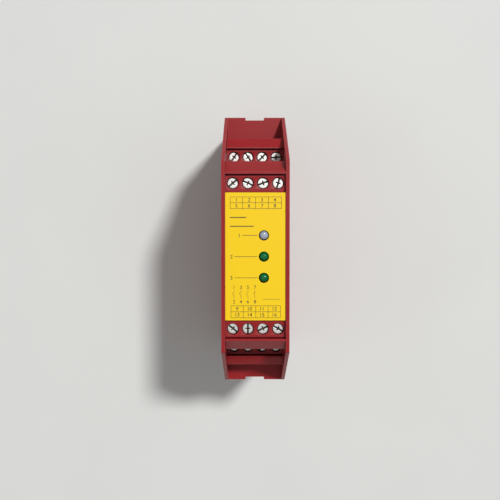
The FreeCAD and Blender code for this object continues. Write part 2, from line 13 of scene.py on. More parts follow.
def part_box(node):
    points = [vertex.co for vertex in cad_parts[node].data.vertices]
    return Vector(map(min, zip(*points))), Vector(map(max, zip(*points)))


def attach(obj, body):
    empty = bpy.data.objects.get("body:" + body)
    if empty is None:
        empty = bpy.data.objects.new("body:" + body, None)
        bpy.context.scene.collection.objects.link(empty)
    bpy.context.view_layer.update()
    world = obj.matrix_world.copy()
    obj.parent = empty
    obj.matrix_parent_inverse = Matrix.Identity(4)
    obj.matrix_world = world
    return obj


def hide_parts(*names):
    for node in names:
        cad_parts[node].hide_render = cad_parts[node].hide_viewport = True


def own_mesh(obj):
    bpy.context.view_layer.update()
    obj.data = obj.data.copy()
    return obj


logging.basicConfig(level=logging.INFO, format="%(levelname)s %(message)s")
LOG = logging.getLogger("safety_relay")

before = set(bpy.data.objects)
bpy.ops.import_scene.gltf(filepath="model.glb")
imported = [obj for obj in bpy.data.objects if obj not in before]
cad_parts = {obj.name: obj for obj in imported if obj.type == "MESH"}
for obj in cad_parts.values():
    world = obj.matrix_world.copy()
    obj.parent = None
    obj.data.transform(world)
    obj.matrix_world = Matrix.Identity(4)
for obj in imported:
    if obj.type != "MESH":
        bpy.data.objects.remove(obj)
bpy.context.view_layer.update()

MM = 0.001
HOUSING_BODY = "housing"
ROWS = range(1, 5)
POLES = range(1, 5)
# Where most of a noise texture's values lie
NOISE_LOW, NOISE_HIGH = 0.3, 0.7
# A turned point nearer to the axis than this lies on it
ON_AXIS_MM = 1e-6


# ---- small helpers ----
def linear(hex_value: str, alpha: float = 1.0) -> tuple[float, float, float, float]:
    """Turns an sRGB hex colour to linear RGBA.

    Args:
        hex_value: Six hex digits, with or without a leading hash.
        alpha: Alpha to go with it.

    Returns:
        Linear red, green and blue with that alpha.
    """
    digits = hex_value.lstrip("#")
    parts = [int(digits[i:i + 2], 16) / 255 for i in (0, 2, 4)]
    red, green, blue = (c / 12.92 if c <= 0.04045 else ((c + 0.055) / 1.055) ** 2.4 for c in parts)
    return red, green, blue, alpha


def add_node(
    tree: bpy.types.NodeTree,
    kind: str,
    settings: dict | None = None,
    links: dict | None = None,
) -> bpy.types.Node:
    """Adds one shader node with its settings and links.

    Args:
        tree: Node tree of a material or of the world.
        kind: Blender's name for the node type.
        settings: Values by attribute name, or by the name or number of a socket.
        links: Output sockets by the name or number of the input that they feed.

    Returns:
        The new node.
    """
    node = tree.nodes.new(kind)
    for name, value in (settings or {}).items():
        if isinstance(name, int) or name in node.inputs:
            node.inputs[name].default_value = value
        else:
            setattr(node, name, value)
    for name, source in (links or {}).items():
        tree.links.new(source, node.inputs[name])
    return node


def per_metre(size_mm: float) -> float:
    """Scale of a pattern in object coordinates whose features are that many millimetres across."""
    return 1.0 / (size_mm * MM)


@dataclass
class Making:
    """A material in the making."""

    material: bpy.types.Material
    tree: bpy.types.NodeTree
    shader: bpy.types.Node
    # Place of a point on the piece, in metres of the piece's own frame
    place: bpy.types.NodeSocket

    def feed(self, socket: str, source: bpy.types.NodeSocket) -> None:
        """Links an output socket to one of the shader's inputs."""
        self.tree.links.new(source, self.shader.inputs[socket])


def new_material(name: str, shader_values: dict) -> Making:
    """Starts a material.

    Args:
        name: What the real material is and how its surface was made.
        shader_values: Values set on the shader's own sockets.

    Returns:
        The material with its tree, its Principled shader and the place on the piece.
    """
    material = bpy.data.materials.new(name)
    material.use_nodes = True
    tree = material.node_tree
    shader = tree.nodes["Principled BSDF"]
    for socket, value in shader_values.items():
        shader.inputs[socket].default_value = value
    return Making(material, tree, shader, add_node(tree, "ShaderNodeTexCoord").outputs["Object"])


def new_object(name: str, data: bpy.types.ID) -> bpy.types.Object:
    """Puts an object into the scene.

    Args:
        name: Name of the piece, lamp or camera.
        data: Its mesh, curve, light or camera data.

    Returns:
        The new object.
    """
    obj = bpy.data.objects.new(name, data)
    bpy.context.scene.collection.objects.link(obj)
    return obj


def mesh_object(name: str, mesh: bmesh.types.BMesh, material: bpy.types.Material,
                smooth_deg: float = 35.0) -> bpy.types.Object:
    """Turns a bmesh into an object in the scene.

    Args:
        name: Piece name.
        mesh: The bmesh, which is freed.
        material: Finish of all its faces.
        smooth_deg: Edges sharper than this stay sharp.

    Returns:
        The new object.
    """
    bmesh.ops.recalc_face_normals(mesh, faces=mesh.faces)
    data = bpy.data.meshes.new(name)
    mesh.to_mesh(data)
    mesh.free()
    finish_mesh(data, material, smooth_deg)
    return new_object(name, data)


def finish_mesh(data: bpy.types.Mesh, material: bpy.types.Material, smooth_deg: float) -> None:
    """Gives a mesh its finish and smooths it between its sharp edges.

    Args:
        data: The mesh.
        material: Finish of all its faces.
        smooth_deg: Edges sharper than this stay sharp.
    """
    data.materials.clear()
    data.materials.append(material)
    data.shade_smooth()
    data.set_sharp_from_angle(angle=math.radians(smooth_deg))


def apply_modifiers(obj: bpy.types.Object) -> None:
    """Bakes an object's modifiers into its mesh.

    Args:
        obj: The object, left with a new mesh and no modifiers.
    """
    depsgraph = bpy.context.evaluated_depsgraph_get()
    data = bpy.data.meshes.new_from_object(obj.evaluated_get(depsgraph))
    obj.modifiers.clear()
    obj.data = data


def turned(mesh: bmesh.types.BMesh, profile: list[tuple[float, float]], steps: int) -> None:
    """Adds a turned form about the Z axis to a bmesh.

    Args:
        mesh: The bmesh to add to.
        profile: Radius and height of each point in millimetres, first and last on the axis.
        steps: Segments round the axis.
    """
    rings: list[list[bmesh.types.BMVert]] = []
    for radius, height in profile:
        if radius < ON_AXIS_MM:
            rings.append([mesh.verts.new((0, 0, height * MM))])
            continue
        rings.append([
            mesh.verts.new((radius * MM * math.cos(math.tau * i / steps),
                            radius * MM * math.sin(math.tau * i / steps), height * MM))
            for i in range(steps)
        ])
    for low, high in zip(rings, rings[1:]):
        for i in range(steps):
            corners = [low[i % len(low)], low[(i + 1) % len(low)],
                       high[(i + 1) % len(high)], high[i % len(high)]]
            unique = list(dict.fromkeys(corners))
            if len(unique) > 2:
                mesh.faces.new(unique)


def block(mesh: bmesh.types.BMesh, low: tuple[float, float, float],
          high: tuple[float, float, float]) -> list[bmesh.types.BMVert]:
    """Adds a box to a bmesh.

    Args:
        mesh: The bmesh to add to.
        low: Its lowest corner in millimetres.
        high: Its highest corner in millimetres.

    Returns:
        The box's eight corners.
    """
    middle = (Vector(low) + Vector(high)) / 2 * MM
    size = (Vector(high) - Vector(low)) * MM
    placed = Matrix.Translation(middle) @ Matrix.Diagonal((*size, 1.0))
    return bmesh.ops.create_cube(mesh, size=1.0, matrix=placed)["verts"]


# ---- finishes ----
@dataclass(frozen=True)
class MouldedPlastic:
    """Injection-moulded plastic from a spark-eroded mould.

    Glass-filled polyamide and its kin: semi-matt, with an even fine grain, slight clouding
    from the flow of the melt, and corners that handling has rubbed smoother. Their paler
    colour is partly rubbed wear and partly a painted highlight.
    """

    name: str
    colour: str
    cloud_colour: str
    worn_colour: str
    roughness: float = 0.46
    gloss_spread: float = 0.07
    ior: float = 1.53
    # The open grain breaks up much of the mirror share of the surface
    specular: float = 0.32
    cloud_mm: float = 14.0
    # Real spark-eroded grain is about 0.06 mm: drawn at 0.22 mm, as coarse as it needs to show
    grain_mm: float = 0.22
    grain_depth_mm: float = 0.012
    speck_mm: float = 0.7
    speck_from: float = 0.62
    speck_full: float = 0.80
    speck_share: float = 0.15
    wear: float = 0.8
    wear_width_mm: float = 0.3
    # Cosine between the rounded and the true normal where the paler edge, partly wear and partly
    # painted highlight, starts and where it is full
    bend_from: float = 0.995
    bend_full: float = 0.86

    def material(self) -> bpy.types.Material:
        """Builds the material.

        Returns:
            The material.
        """
        made = new_material(self.name, {"IOR": self.ior, "Specular IOR Level": self.specular})
        tree = made.tree
        cloud = add_node(tree, "ShaderNodeTexNoise",
                         {"Scale": per_metre(self.cloud_mm), "Detail": 3.0, "Roughness": 0.6},
                         {"Vector": made.place})
        speck = add_node(tree, "ShaderNodeTexNoise",
                         {"Scale": per_metre(self.speck_mm), "Detail": 4.0, "Roughness": 0.7},
                         {"Vector": made.place})
        grain = add_node(tree, "ShaderNodeTexNoise",
                         {"Scale": per_metre(self.grain_mm), "Detail": 2.0},
                         {"Vector": made.place})
        clouded = add_node(tree, "ShaderNodeMixRGB",
                           {"Color1": linear(self.colour), "Color2": linear(self.cloud_colour)},
                           {"Fac": cloud.outputs["Fac"]})
        specks = add_node(tree, "ShaderNodeMapRange",
                          {"From Min": self.speck_from, "From Max": self.speck_full,
                           "To Min": 0.0, "To Max": self.speck_share},
                          {"Value": speck.outputs["Fac"]})
        specked = add_node(tree, "ShaderNodeMixRGB", {"Color2": linear(self.worn_colour)},
                           {"Fac": specks.outputs["Result"], "Color1": clouded.outputs["Color"]})
        # Rubbed wear and a painted highlight: convex edges, found by the rounded normal, turn
        # paler
        rounded = add_node(tree, "ShaderNodeBevel",
                           {"samples": 4, "Radius": self.wear_width_mm * MM})
        flat = add_node(tree, "ShaderNodeNewGeometry")
        bend = add_node(tree, "ShaderNodeVectorMath", {"operation": "DOT_PRODUCT"},
                        {0: rounded.outputs["Normal"], 1: flat.outputs["Normal"]})
        edge = add_node(tree, "ShaderNodeMapRange",
                        {"From Min": self.bend_from, "From Max": self.bend_full,
                         "To Min": 0.0, "To Max": self.wear}, {"Value": bend.outputs["Value"]})
        broken = add_node(tree, "ShaderNodeMath", {"operation": "MULTIPLY"},
                          {0: edge.outputs["Result"], 1: speck.outputs["Fac"]})
        worn_and_highlit = add_node(tree, "ShaderNodeMixRGB", {"Color2": linear(self.worn_colour)},
                        {"Fac": broken.outputs["Value"], "Color1": specked.outputs["Color"]})
        made.feed("Base Color", worn_and_highlit.outputs["Color"])
        gloss = add_node(tree, "ShaderNodeMapRange",
                         {"From Min": NOISE_LOW, "From Max": NOISE_HIGH,
                          "To Min": self.roughness - self.gloss_spread,
                          "To Max": self.roughness + self.gloss_spread},
                         {"Value": speck.outputs["Fac"]})
        made.feed("Roughness", gloss.outputs["Result"])
        bump = add_node(tree, "ShaderNodeBump",
                        {"Strength": 1.0, "Distance": self.grain_depth_mm * MM},
                        {"Height": grain.outputs["Fac"]})
        made.feed("Normal", bump.outputs["Normal"])
        return made.material


@dataclass(frozen=True)
class PrintedFilm:
    """Screen-printed polyester film, back-glued: satin, with a faint orange-peel in the ink."""

    name: str
    colour: str
    thin_colour: str
    roughness: float = 0.42
    gloss_spread: tuple[float, float] = (-0.05, 0.08)
    ior: float = 1.57
    specular: float = 0.32
    peel_mm: float = 1.1
    peel_depth_mm: float = 0.006
    cloud_mm: float = 9.0

    def material(self) -> bpy.types.Material:
        """Builds the material.

        Returns:
            The material.
        """
        made = new_material(self.name, {"IOR": self.ior, "Specular IOR Level": self.specular})
        tree = made.tree
        cloud = add_node(tree, "ShaderNodeTexNoise",
                         {"Scale": per_metre(self.cloud_mm), "Detail": 4.0, "Roughness": 0.65},
                         {"Vector": made.place})
        peel = add_node(tree, "ShaderNodeTexNoise",
                        {"Scale": per_metre(self.peel_mm), "Detail": 2.0},
                        {"Vector": made.place})
        ink = add_node(tree, "ShaderNodeMixRGB",
                       {"Color1": linear(self.colour), "Color2": linear(self.thin_colour)},
                       {"Fac": cloud.outputs["Fac"]})
        made.feed("Base Color", ink.outputs["Color"])
        gloss = add_node(tree, "ShaderNodeMapRange",
                         {"From Min": NOISE_LOW, "From Max": NOISE_HIGH,
                          "To Min": self.roughness + self.gloss_spread[0],
                          "To Max": self.roughness + self.gloss_spread[1]},
                         {"Value": cloud.outputs["Fac"]})
        made.feed("Roughness", gloss.outputs["Result"])
        bump = add_node(tree, "ShaderNodeBump",
                        {"Strength": 1.0, "Distance": self.peel_depth_mm * MM},
                        {"Height": peel.outputs["Fac"]})
        made.feed("Normal", bump.outputs["Normal"])
        return made.material


@dataclass(frozen=True)
class PrintInk:
    """Screen-print ink: a dull film a few hundredths thick, thinner towards the mesh's marks."""

    name: str
    colour: str
    thin_colour: str
    roughness: float = 0.55
    ior: float = 1.5
    mesh_mm: float = 0.3
    thin_from: float = 0.45
    thin_full: float = 0.75
    thin_share: float = 0.6

    def material(self) -> bpy.types.Material:
        """Builds the material.

        Returns:
            The material.
        """
        made = new_material(self.name, {"Roughness": self.roughness, "IOR": self.ior})
        tree = made.tree
        thin = add_node(tree, "ShaderNodeTexNoise",
                        {"Scale": per_metre(self.mesh_mm), "Detail": 3.0},
                        {"Vector": made.place})
        cover = add_node(tree, "ShaderNodeMapRange",
                         {"From Min": self.thin_from, "From Max": self.thin_full,
                          "To Min": 0.0, "To Max": self.thin_share},
                         {"Value": thin.outputs["Fac"]})
        ink = add_node(tree, "ShaderNodeMixRGB",
                       {"Color1": linear(self.colour), "Color2": linear(self.thin_colour)},
                       {"Fac": cover.outputs["Result"]})
        made.feed("Base Color", ink.outputs["Color"])
        return made.material


class MetalMarks(Enum):
    """How a metal surface was made."""

    TURNED = "turned rings about the piece's own axis"
    STAMPED = "stamped, with a fine even grain"


@dataclass(frozen=True)
class PlatedMetal:
    """Steel or copper with a thin bright plating over the marks of its making."""

    name: str
    colour: str
    dull_colour: str
    marks: MetalMarks
    roughness: float
    gloss_spread: tuple[float, float] = (-0.08, 0.14)
    # Turning marks are about 0.03 mm apart: drawn at 0.16 mm so that they show
    mark_mm: float = 0.16
    mark_depth_mm: float = 0.004
    stain_mm: float = 1.3
    # Painted shade darkens a recess deeper than this below the piece's own top, or None
    grime_below_mm: float | None = None
    grime_fade_mm: float = 0.35
    grime_share: float = 0.93
    grime_colour: str = "#2B2723"

    def material(self) -> bpy.types.Material:
        """Builds the material.

        Returns:
            The material.
        """
        made = new_material(self.name, {"Metallic": 1.0})
        tree = made.tree
        stain = add_node(tree, "ShaderNodeTexNoise",
                         {"Scale": per_metre(self.stain_mm), "Detail": 5.0, "Roughness": 0.7},
                         {"Vector": made.place})
        seen = add_node(tree, "ShaderNodeMixRGB",
                        {"Color1": linear(self.colour), "Color2": linear(self.dull_colour)},
                        {"Fac": stain.outputs["Fac"]})
        # Painted shade: the slot and the cross go dark below the given depth, standing in for the
        # shade inside the recess
        if self.grime_below_mm is not None:
            depth = add_node(tree, "ShaderNodeSeparateXYZ", links={0: made.place}).outputs["Z"]
            shade_in_recess = add_node(tree, "ShaderNodeMapRange",
                             {"From Min": -self.grime_below_mm * MM,
                              "From Max": -(self.grime_below_mm + self.grime_fade_mm) * MM,
                              "To Min": 0.0, "To Max": self.grime_share}, {"Value": depth})
            seen = add_node(tree, "ShaderNodeMixRGB", {"Color2": linear(self.grime_colour)},
                            {"Fac": shade_in_recess.outputs["Result"], "Color1": seen.outputs["Color"]})
        made.feed("Base Color", seen.outputs["Color"])
        gloss = add_node(tree, "ShaderNodeMapRange",
                         {"From Min": NOISE_LOW, "From Max": NOISE_HIGH,
                          "To Min": self.roughness + self.gloss_spread[0],
                          "To Max": self.roughness + self.gloss_spread[1]},
                         {"Value": stain.outputs["Fac"]})
        made.feed("Roughness", gloss.outputs["Result"])
        if self.marks is MetalMarks.TURNED:
            # A wave texture has a ring every twentieth of a unit at scale 1
            marks = add_node(tree, "ShaderNodeTexWave",
                             {"wave_type": "RINGS", "rings_direction": "Z",
                              "Scale": per_metre(self.mark_mm) / 20, "Distortion": 0.6,
                              "Detail": 1.0}, {"Vector": made.place})
        else:
            marks = add_node(tree, "ShaderNodeTexNoise",
                             {"Scale": per_metre(self.mark_mm), "Detail": 2.0},
                             {"Vector": made.place})
        bump = add_node(tree, "ShaderNodeBump",
                        {"Strength": 1.0, "Distance": self.mark_depth_mm * MM},
                        {"Height": marks.outputs["Fac"]})
        made.feed("Normal", bump.outputs["Normal"])
        return made.material


@dataclass(frozen=True)
class LampResin:
    """Cast epoxy of an indicator lamp: clear or tinted, glossy, with faint swirls in the cast."""

    name: str
    colour: str
    swirl_colour: str
    transmission: float
    roughness: float = 0.12
    ior: float = 1.53
    swirl_mm: float = 1.6

    def material(self) -> bpy.types.Material:
        """Builds the material.

        Returns:
            The material.
        """
        made = new_material(self.name, {"IOR": self.ior, "Roughness": self.roughness,
                                        "Transmission Weight": self.transmission})
        tree = made.tree
        swirl = add_node(tree, "ShaderNodeTexNoise",
                         {"Scale": per_metre(self.swirl_mm), "Detail": 1.0, "Distortion": 1.2},
                         {"Vector": made.place})
        tint = add_node(tree, "ShaderNodeMixRGB",
                        {"Color1": linear(self.colour), "Color2": linear(self.swirl_colour)},
                        {"Fac": swirl.outputs["Fac"]})
        made.feed("Base Color", tint.outputs["Color"])
        return made.material


@dataclass(frozen=True)
class Laminate:
    """Glass-epoxy board under solder resist: glossy green over the faint cross of the weave."""

    name: str = "glass_epoxy_laminate_solder_resist"
    colour: str = "#1E6B3A"
    weave_colour: str = "#2C7E4A"
    edge_colour: str = "#7F8A4E"
    roughness: float = 0.3
    ior: float = 1.55
    # Glass cloth of the usual kind has threads 0.5 mm apart
    thread_mm: float = 0.5
    cloud_mm: float = 6.0

    def material(self) -> bpy.types.Material:
        """Builds the material.

        Returns:
            The material.
        """
        made = new_material(self.name, {"IOR": self.ior, "Roughness": self.roughness})
        tree = made.tree
        weave = add_node(tree, "ShaderNodeTexChecker",
                         {"Scale": per_metre(self.thread_mm), "Color1": linear(self.colour),
                          "Color2": linear(self.weave_colour)}, {"Vector": made.place})
        cloud = add_node(tree, "ShaderNodeTexNoise",
                         {"Scale": per_metre(self.cloud_mm), "Detail": 3.0},
                         {"Vector": made.place})
        mixed = add_node(tree, "ShaderNodeMixRGB",
                         {"blend_type": "SOFT_LIGHT", "Color2": linear(self.edge_colour)},
                         {"Color1": weave.outputs["Color"], "Fac": cloud.outputs["Fac"]})
        made.feed("Base Color", mixed.outputs["Color"])
        return made.material


@dataclass(init=False)
class Finishes:
    """Every material of the relay, made once."""

    housing_red: bpy.types.Material
    block_red: bpy.types.Material
    label_yellow: bpy.types.Material
    ink_black: bpy.types.Material
    screw_steel: bpy.types.Material
    cage_steel: bpy.types.Material
    tinned_copper: bpy.types.Material
    spring_steel: bpy.types.Material
    lamp_clear: bpy.types.Material
    lamp_green: bpy.types.Material
    lamp_metal: bpy.types.Material
    laminate: bpy.types.Material
    relay_case: bpy.types.Material
    capacitor_sleeve: bpy.types.Material
    chip_black: bpy.types.Material
    suppressor_blue: bpy.types.Material
    latch_black: bpy.types.Material

    def __init__(self) -> None:
        """Builds the materials."""
        # Deep red with slow clouds of a darker red, paler along edges that hands and rail rub, the
        # paler edge partly a painted highlight
        self.housing_red = MouldedPlastic(
            "glass_filled_polyamide_moulded_red", "#99171E", "#8E1319", "#B9666D").material()
        # The same plastic in smaller mouldings, where the melt leaves smaller clouds
        self.block_red = MouldedPlastic(
            "glass_filled_polyamide_moulded_red_blocks", "#99171E", "#8C1318", "#BC6B71",
            cloud_mm=6.0).material()
        # Warm full yellow with a satin sheen and hardly any relief
        self.label_yellow = PrintedFilm(
            "polyester_film_screen_printed_yellow", "#F7D20A", "#F4C804").material()
        # Dark olive strokes where the yellow shows through thin ink
        self.ink_black = PrintInk("screen_print_ink_dark", "#3A3426", "#6E6226").material()
        # Almost white heads with faint turned rings, and slots darkened with painted shade
        self.screw_steel = PlatedMetal(
            "carbon_steel_turned_zinc_plated", "#FAF9F5", "#E3E2DC",
            MetalMarks.TURNED, roughness=0.44, grime_below_mm=0.16).material()
        # Greyer than the screws, with the soft glint of pressed strip
        self.cage_steel = PlatedMetal(
            "strip_steel_stamped_zinc_plated", "#C9C9C2", "#A9A9A2",
            MetalMarks.STAMPED, roughness=0.38).material()
        # Bright and slightly warm
        self.tinned_copper = PlatedMetal(
            "copper_strip_stamped_tin_plated", "#D9D5CC", "#BDB8AE",
            MetalMarks.STAMPED, roughness=0.3).material()
        # Cool grey with sharp glints on its bends
        self.spring_steel = PlatedMetal(
            "spring_steel_strip_bent", "#B9BBBE", "#8D9094",
            MetalMarks.STAMPED, roughness=0.28).material()
        # Bluish milk glass look of an unlit white lamp
        self.lamp_clear = LampResin(
            "epoxy_cast_clear_lamp", "#E2ECFF", "#C6D6F4", transmission=0.55).material()
        # Bottle green that is dark until light falls into it
        self.lamp_green = LampResin(
            "epoxy_cast_green_lamp", "#0FA25C", "#058448", transmission=0.62).material()
        # Bright cup that gives the lens a glint from within
        self.lamp_metal = PlatedMetal(
            "iron_lead_frame_silver_plated", "#E4E2DC", "#C9C6BE",
            MetalMarks.STAMPED, roughness=0.2).material()
        # Glossy green board
        self.laminate = Laminate().material()
        # Cream case with soft highlights
        self.relay_case = MouldedPlastic(
            "polybutylene_terephthalate_moulded_pale", "#D2CCBB", "#C6C0AE", "#E4E0D4",
            roughness=0.4, wear=0.2).material()
        # Near-black blue, smooth and shiny
        self.capacitor_sleeve = MouldedPlastic(
            "polyvinyl_sleeve_shrunk_dark_blue", "#1C2740", "#162036", "#3C4A68",
            roughness=0.22, grain_depth_mm=0.003, wear=0.2).material()
        # Flat black that hardly shines
        self.chip_black = MouldedPlastic(
            "epoxy_compound_moulded_black", "#26272A", "#1F2022", "#4A4B4E",
            roughness=0.6).material()
        # Lumpy blue coat with small highlights
        self.suppressor_blue = MouldedPlastic(
            "epoxy_powder_dipped_blue", "#2A4C94", "#234285", "#5670A8",
            roughness=0.35, grain_depth_mm=0.02).material()
        # Black-grey with greyed edges where it slides, the grey partly a painted highlight
        self.latch_black = MouldedPlastic(
            "polyamide_moulded_black", "#2B2C2E", "#232425", "#55575A",
            roughness=0.5).material()
        LOG.info("finishes made: %d materials", len(bpy.data.materials))


# ---- moulded pieces that keep the frame's shape ----
@dataclass
class MouldedCase:
    """Housing, front cover, terminal blocks and latch: the frame's shapes with moulded corners."""

    finishes: Finishes
    # Widths of the rounding: the housing's corners, all others, and the long outer edges
    # of the side walls
    corner_mm: float = 0.16
    small_corner_mm: float = 0.12
    outer_mm: float = 0.42
    corner_steps: int = 2
    outer_steps: int = 4
    # An edge is rounded if its faces turn by more than this
    corner_deg: float = 38.0
    outer_deg: float = 60.0
    # Points of the frame's faces closer than this are one
    weld_mm: float = 0.002
    merge_mm: float = 0.001
    wall_tolerance_mm: float = 0.01
    normal_weight: int = 60
    # Edges stay crisp below the first height, and beside the rail below the second one
    back_z: float = 2.1
    rail_z: float = 6.0
    rail_y: float = 20.0
    blocks: tuple[str, ...] = (
        "terminal_block_top_outer", "terminal_block_top_inner",
        "terminal_block_bottom_inner", "terminal_block_bottom_outer",
    )

    def dress(self, node: str, material: bpy.types.Material, corner_mm: float) -> None:
        """Gives a node of the frame its finish and rounds its corners.

        Args:
            node: Name of the node.
            material: Its finish.
            corner_mm: Width of the rounding.
        """
        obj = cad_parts[node]
        obj.data.materials.clear()
        obj.data.materials.append(material)
        weld = obj.modifiers.new("weld", "WELD")
        weld.merge_threshold = self.weld_mm * MM
        soften = obj.modifiers.new("corners", "BEVEL")
        soften.limit_method = "ANGLE"
        soften.angle_limit = math.radians(self.corner_deg)
        soften.width = corner_mm * MM
        soften.segments = self.corner_steps
        soften.use_clamp_overlap = True
        soften.miter_outer = "MITER_ARC"
        level = obj.modifiers.new("level", "WEIGHTED_NORMAL")
        level.weight = self.normal_weight
        level.keep_sharp = False
        LOG.info("dressed %s", node)

    def at_rail(self, point: Vector) -> bool:
        """Tells whether a point lies on the back or beside the rail.

        Args:
            point: The point, in metres.

        Returns:
            True if edges that end there stay crisp.
        """
        return point.z < self.back_z * MM or (
            point.z < self.rail_z * MM and abs(point.y) < self.rail_y * MM)

    @staticmethod
    def edge_key(points: list[Vector]) -> frozenset:
        """Names an edge by its ends, so that it is found again in a mesh with split corners.

        Args:
            points: Its two ends, in metres.

        Returns:
            The ends to a hundredth of a millimetre, in no order.
        """
        return frozenset(tuple(round(c / MM, 2) for c in point) for point in points)

    def round_side_edges(self, node: str) -> None:
        """Rounds the long outer edges of the side walls more than the other corners.

        Args:
            node: Name of the node that has the side walls.
        """
        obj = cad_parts[node]
        wall_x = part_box(node)[1].x
        form = bmesh.new()
        form.from_mesh(obj.data)
        bmesh.ops.remove_doubles(form, verts=form.verts, dist=self.merge_mm * MM)
        long_edges = set()
        for edge in form.edges:
            ends = [v.co for v in edge.verts]
            on_wall = all(abs(abs(p.x) - wall_x) < self.wall_tolerance_mm * MM for p in ends)
            sharp = edge.calc_face_angle(0.0) > math.radians(self.outer_deg)
            if on_wall and sharp and not any(self.at_rail(p) for p in ends):
                long_edges.add(self.edge_key(ends))
        form.free()
        data = obj.data
        weights = data.attributes.new("bevel_weight_edge", "FLOAT", "EDGE")
        for edge in data.edges:
            if self.edge_key([data.vertices[i].co for i in edge.vertices]) in long_edges:
                weights.data[edge.index].value = 1.0
        rounding = obj.modifiers.new("side_edges", "BEVEL")
        rounding.limit_method = "WEIGHT"
        rounding.width = self.outer_mm * MM
        rounding.segments = self.outer_steps
        # It comes straight after the weld, before the corners
        obj.modifiers.move(len(obj.modifiers) - 1, 1)
        LOG.info("side edges rounded: %d", len(long_edges))

    def build(self) -> None:
        """Dresses every moulded piece."""
        self.dress("housing_body", self.finishes.housing_red, self.corner_mm)
        self.round_side_edges("housing_body")
        self.dress("front_cover", self.finishes.housing_red, self.small_corner_mm)
        for name in self.blocks:
            self.dress(name, self.finishes.block_red, self.small_corner_mm)
        self.dress("rail_latch", self.finishes.latch_black, self.small_corner_mm)


# ---- what is inside ----
@dataclass
class Inside:
    """Boards and the parts on them, and the clamps' metal."""

    finishes: Finishes

    def build(self) -> None:
        """Dresses the nodes inside the housing."""
        plan = {
            self.finishes.laminate: ("header_board_top", "header_board_bottom", "main_board",
                                     "display_board"),
            self.finishes.relay_case: ("relay_top", "relay_bottom"),
            self.finishes.capacitor_sleeve: ("power_capacitor",),
            self.finishes.suppressor_blue: ("surge_suppressor",),
            self.finishes.chip_black: ("logic_chip", "input_fuse"),
            self.finishes.tinned_copper: tuple(f"contact_bars_row_{row}" for row in ROWS),
            self.finishes.cage_steel: tuple(f"clamp_cage_{row}_{pole}"
                                            for row in ROWS for pole in POLES),
        }
        for material, names in plan.items():
            for name in names:
                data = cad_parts[name].data
                data.materials.clear()
                data.materials.append(material)
            LOG.info("dressed %s", ", ".join(names))


